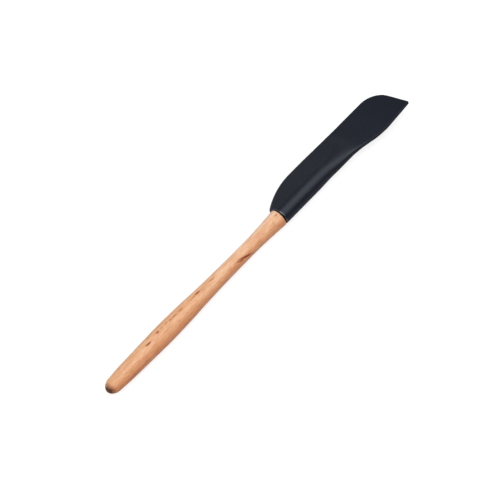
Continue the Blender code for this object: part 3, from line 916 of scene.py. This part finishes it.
# each fine piece, and the CAD node it stands for, wear the same material
recoat("nylon_core", nylon)
for piece, part, node, slot, material in (
        (head, "head", "silicone_head", "silicone", silicone),
        (handle, "handle", "wood_handle", "beech", wood)):
    piece.data.materials.append(material)
    recoat(node, material)
    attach(piece, part)
    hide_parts(node)


# ======================================================================================
# table
# ======================================================================================
TABLE_HALF, TABLE_DROP = 6.0, 0.0001
TABLE_GLOW, FAR_GLOW = 0.79, 0.35       # glow near the part, and what is added far away
GLOW_START, GLOW_SPAN = 0.6, 1.0        # metres from the centre


def table_material():
    """Glows for the camera so that it stays white; a dimmer board for glossy rays, painted shade on its reflections;
    plain pale board for every other ray.
    """
    material, net = new_material("white_table")
    nodes = net.tree.nodes
    nodes.remove(nodes["Principled BSDF"])
    coord = net.add("ShaderNodeTexCoord", output="Object")
    speck = net.noise(coord, scale=40.0, detail=3.0)
    rays = net.node("ShaderNodeLightPath").outputs

    def diffuse(colour):
        return net.add("ShaderNodeBsdfDiffuse", {"Color": colour})

    plain = diffuse(net.mix((0.70, 0.70, 0.70, 1), (0.74, 0.74, 0.74, 1), amount=speck))
    # painted shade: the board is dimmer in reflections than it is
    dim = diffuse((0.42, 0.42, 0.43, 1))
    bright = diffuse(net.mix((0.29, 0.29, 0.29, 1), (0.31, 0.31, 0.31, 1), amount=speck))
    # pure white far away, so that low views show no edge
    distance = net.vector_math("LENGTH", coord, output=1)
    away = net.fade((distance - GLOW_START) / GLOW_SPAN, start=0.0, end=1.0)
    glow = net.add("ShaderNodeEmission", {"Color": (1, 1, 1, 1),
                                          "Strength": TABLE_GLOW + away * FAR_GLOW})
    seen = net.add("ShaderNodeAddShader", {0: bright, 1: glow})
    others = net.mix_shaders(rays["Is Glossy Ray"], if_zero=plain, if_one=dim)
    final = net.mix_shaders(rays["Is Camera Ray"], if_zero=others, if_one=seen)
    net.put(nodes["Material Output"].inputs["Surface"], final)
    return material


scene = bpy.context.scene
bm = bmesh.new()
bmesh.ops.create_grid(bm, x_segments=4, y_segments=4, size=TABLE_HALF)
table_mesh = bpy.data.meshes.new("table_top")
bm.to_mesh(table_mesh)
bm.free()
table = bpy.data.objects.new("table_top", table_mesh)
table.location = (0, 0, -TABLE_DROP)
scene.collection.objects.link(table)
table_mesh.materials.append(table_material())


# ======================================================================================
# lights and surroundings
# ======================================================================================
def softbox(name, centre, size, radiance, aim=None):
    """Rectangular light of a given face brightness; it hangs level unless aimed at a point."""
    light = bpy.data.lights.new(name, "AREA")
    light.shape = "RECTANGLE"
    light.size, light.size_y = size
    light.energy = radiance * math.pi * size[0] * size[1]
    obj = bpy.data.objects.new(name, light)
    obj.location = centre
    obj.rotation_mode = "QUATERNION"
    if aim is not None:
        obj.rotation_quaternion = (Vector(centre) - Vector(aim)).to_track_quat("Z", "Y")
    obj.visible_camera = False
    scene.collection.objects.link(obj)


softbox("ceiling_panel", centre=(0.76, -0.49, 2.2), size=(4.1, 3.1), radiance=2.0)
softbox("side_panel", centre=(-1.41, 0.26, 1.66), size=(0.8, 1.2), radiance=3.0, aim=(0, 0, 0))


def studio_world():
    """White for the camera; for every other ray a dim room, darker towards -Y."""
    world = bpy.data.worlds.new("studio")
    world.use_nodes = True
    net = Net(world.node_tree)
    net.tree.nodes.clear()
    direction = net.split(net.add("ShaderNodeTexCoord", output="Generated"))
    towards_plus_y = direction[1] * 0.5 + 0.5
    room = net.ramp(towards_plus_y, ((0.0, 0.04), (0.30, 0.05), (0.60, 0.30), (1.0, 0.30)))
    dim, seen = (net.add("ShaderNodeBackground", {"Color": colour, "Strength": 1.0})
                 for colour in (room, (1.0, 1.0, 1.0, 1)))
    rays = net.node("ShaderNodeLightPath").outputs
    final = net.mix_shaders(rays["Is Camera Ray"], if_zero=dim, if_one=seen)
    net.node("ShaderNodeOutputWorld", {"Surface": final})
    return world


scene.world = studio_world()
scene.view_settings.view_transform = "Standard"
scene.view_settings.look = "None"
scene.view_settings.exposure = 0.0
scene.view_settings.gamma = 1.0

# ======================================================================================
# camera: a long lens above the table, on the -X -Y side
# ======================================================================================
ELEVATION, AZIMUTH = math.radians(64.2), math.radians(-48.377)
DISTANCE = 1.83049
# the mouth's centre from the middle of the view, in metres
MOUTH_RIGHT, MOUTH_UP = 0.021216111, 0.023630162

back = Vector((math.sin(AZIMUTH) * math.cos(ELEVATION),
               -math.cos(AZIMUTH) * math.cos(ELEVATION), math.sin(ELEVATION)))
right = Vector((math.cos(AZIMUTH), math.sin(AZIMUTH), 0.0))
view_up = back.cross(right)
lens = bpy.data.cameras.new("camera")
lens.lens, lens.sensor_width = 180.0, 36.0
lens.clip_start, lens.clip_end = 0.05, 50.0
camera = bpy.data.objects.new("camera", lens)
camera.location = AXIS - right * MOUTH_RIGHT - view_up * MOUTH_UP + back * DISTANCE
camera.rotation_mode = "QUATERNION"
camera.rotation_quaternion = Matrix((right, view_up, back)).transposed().to_quaternion()
scene.collection.objects.link(camera)
scene.camera = camera
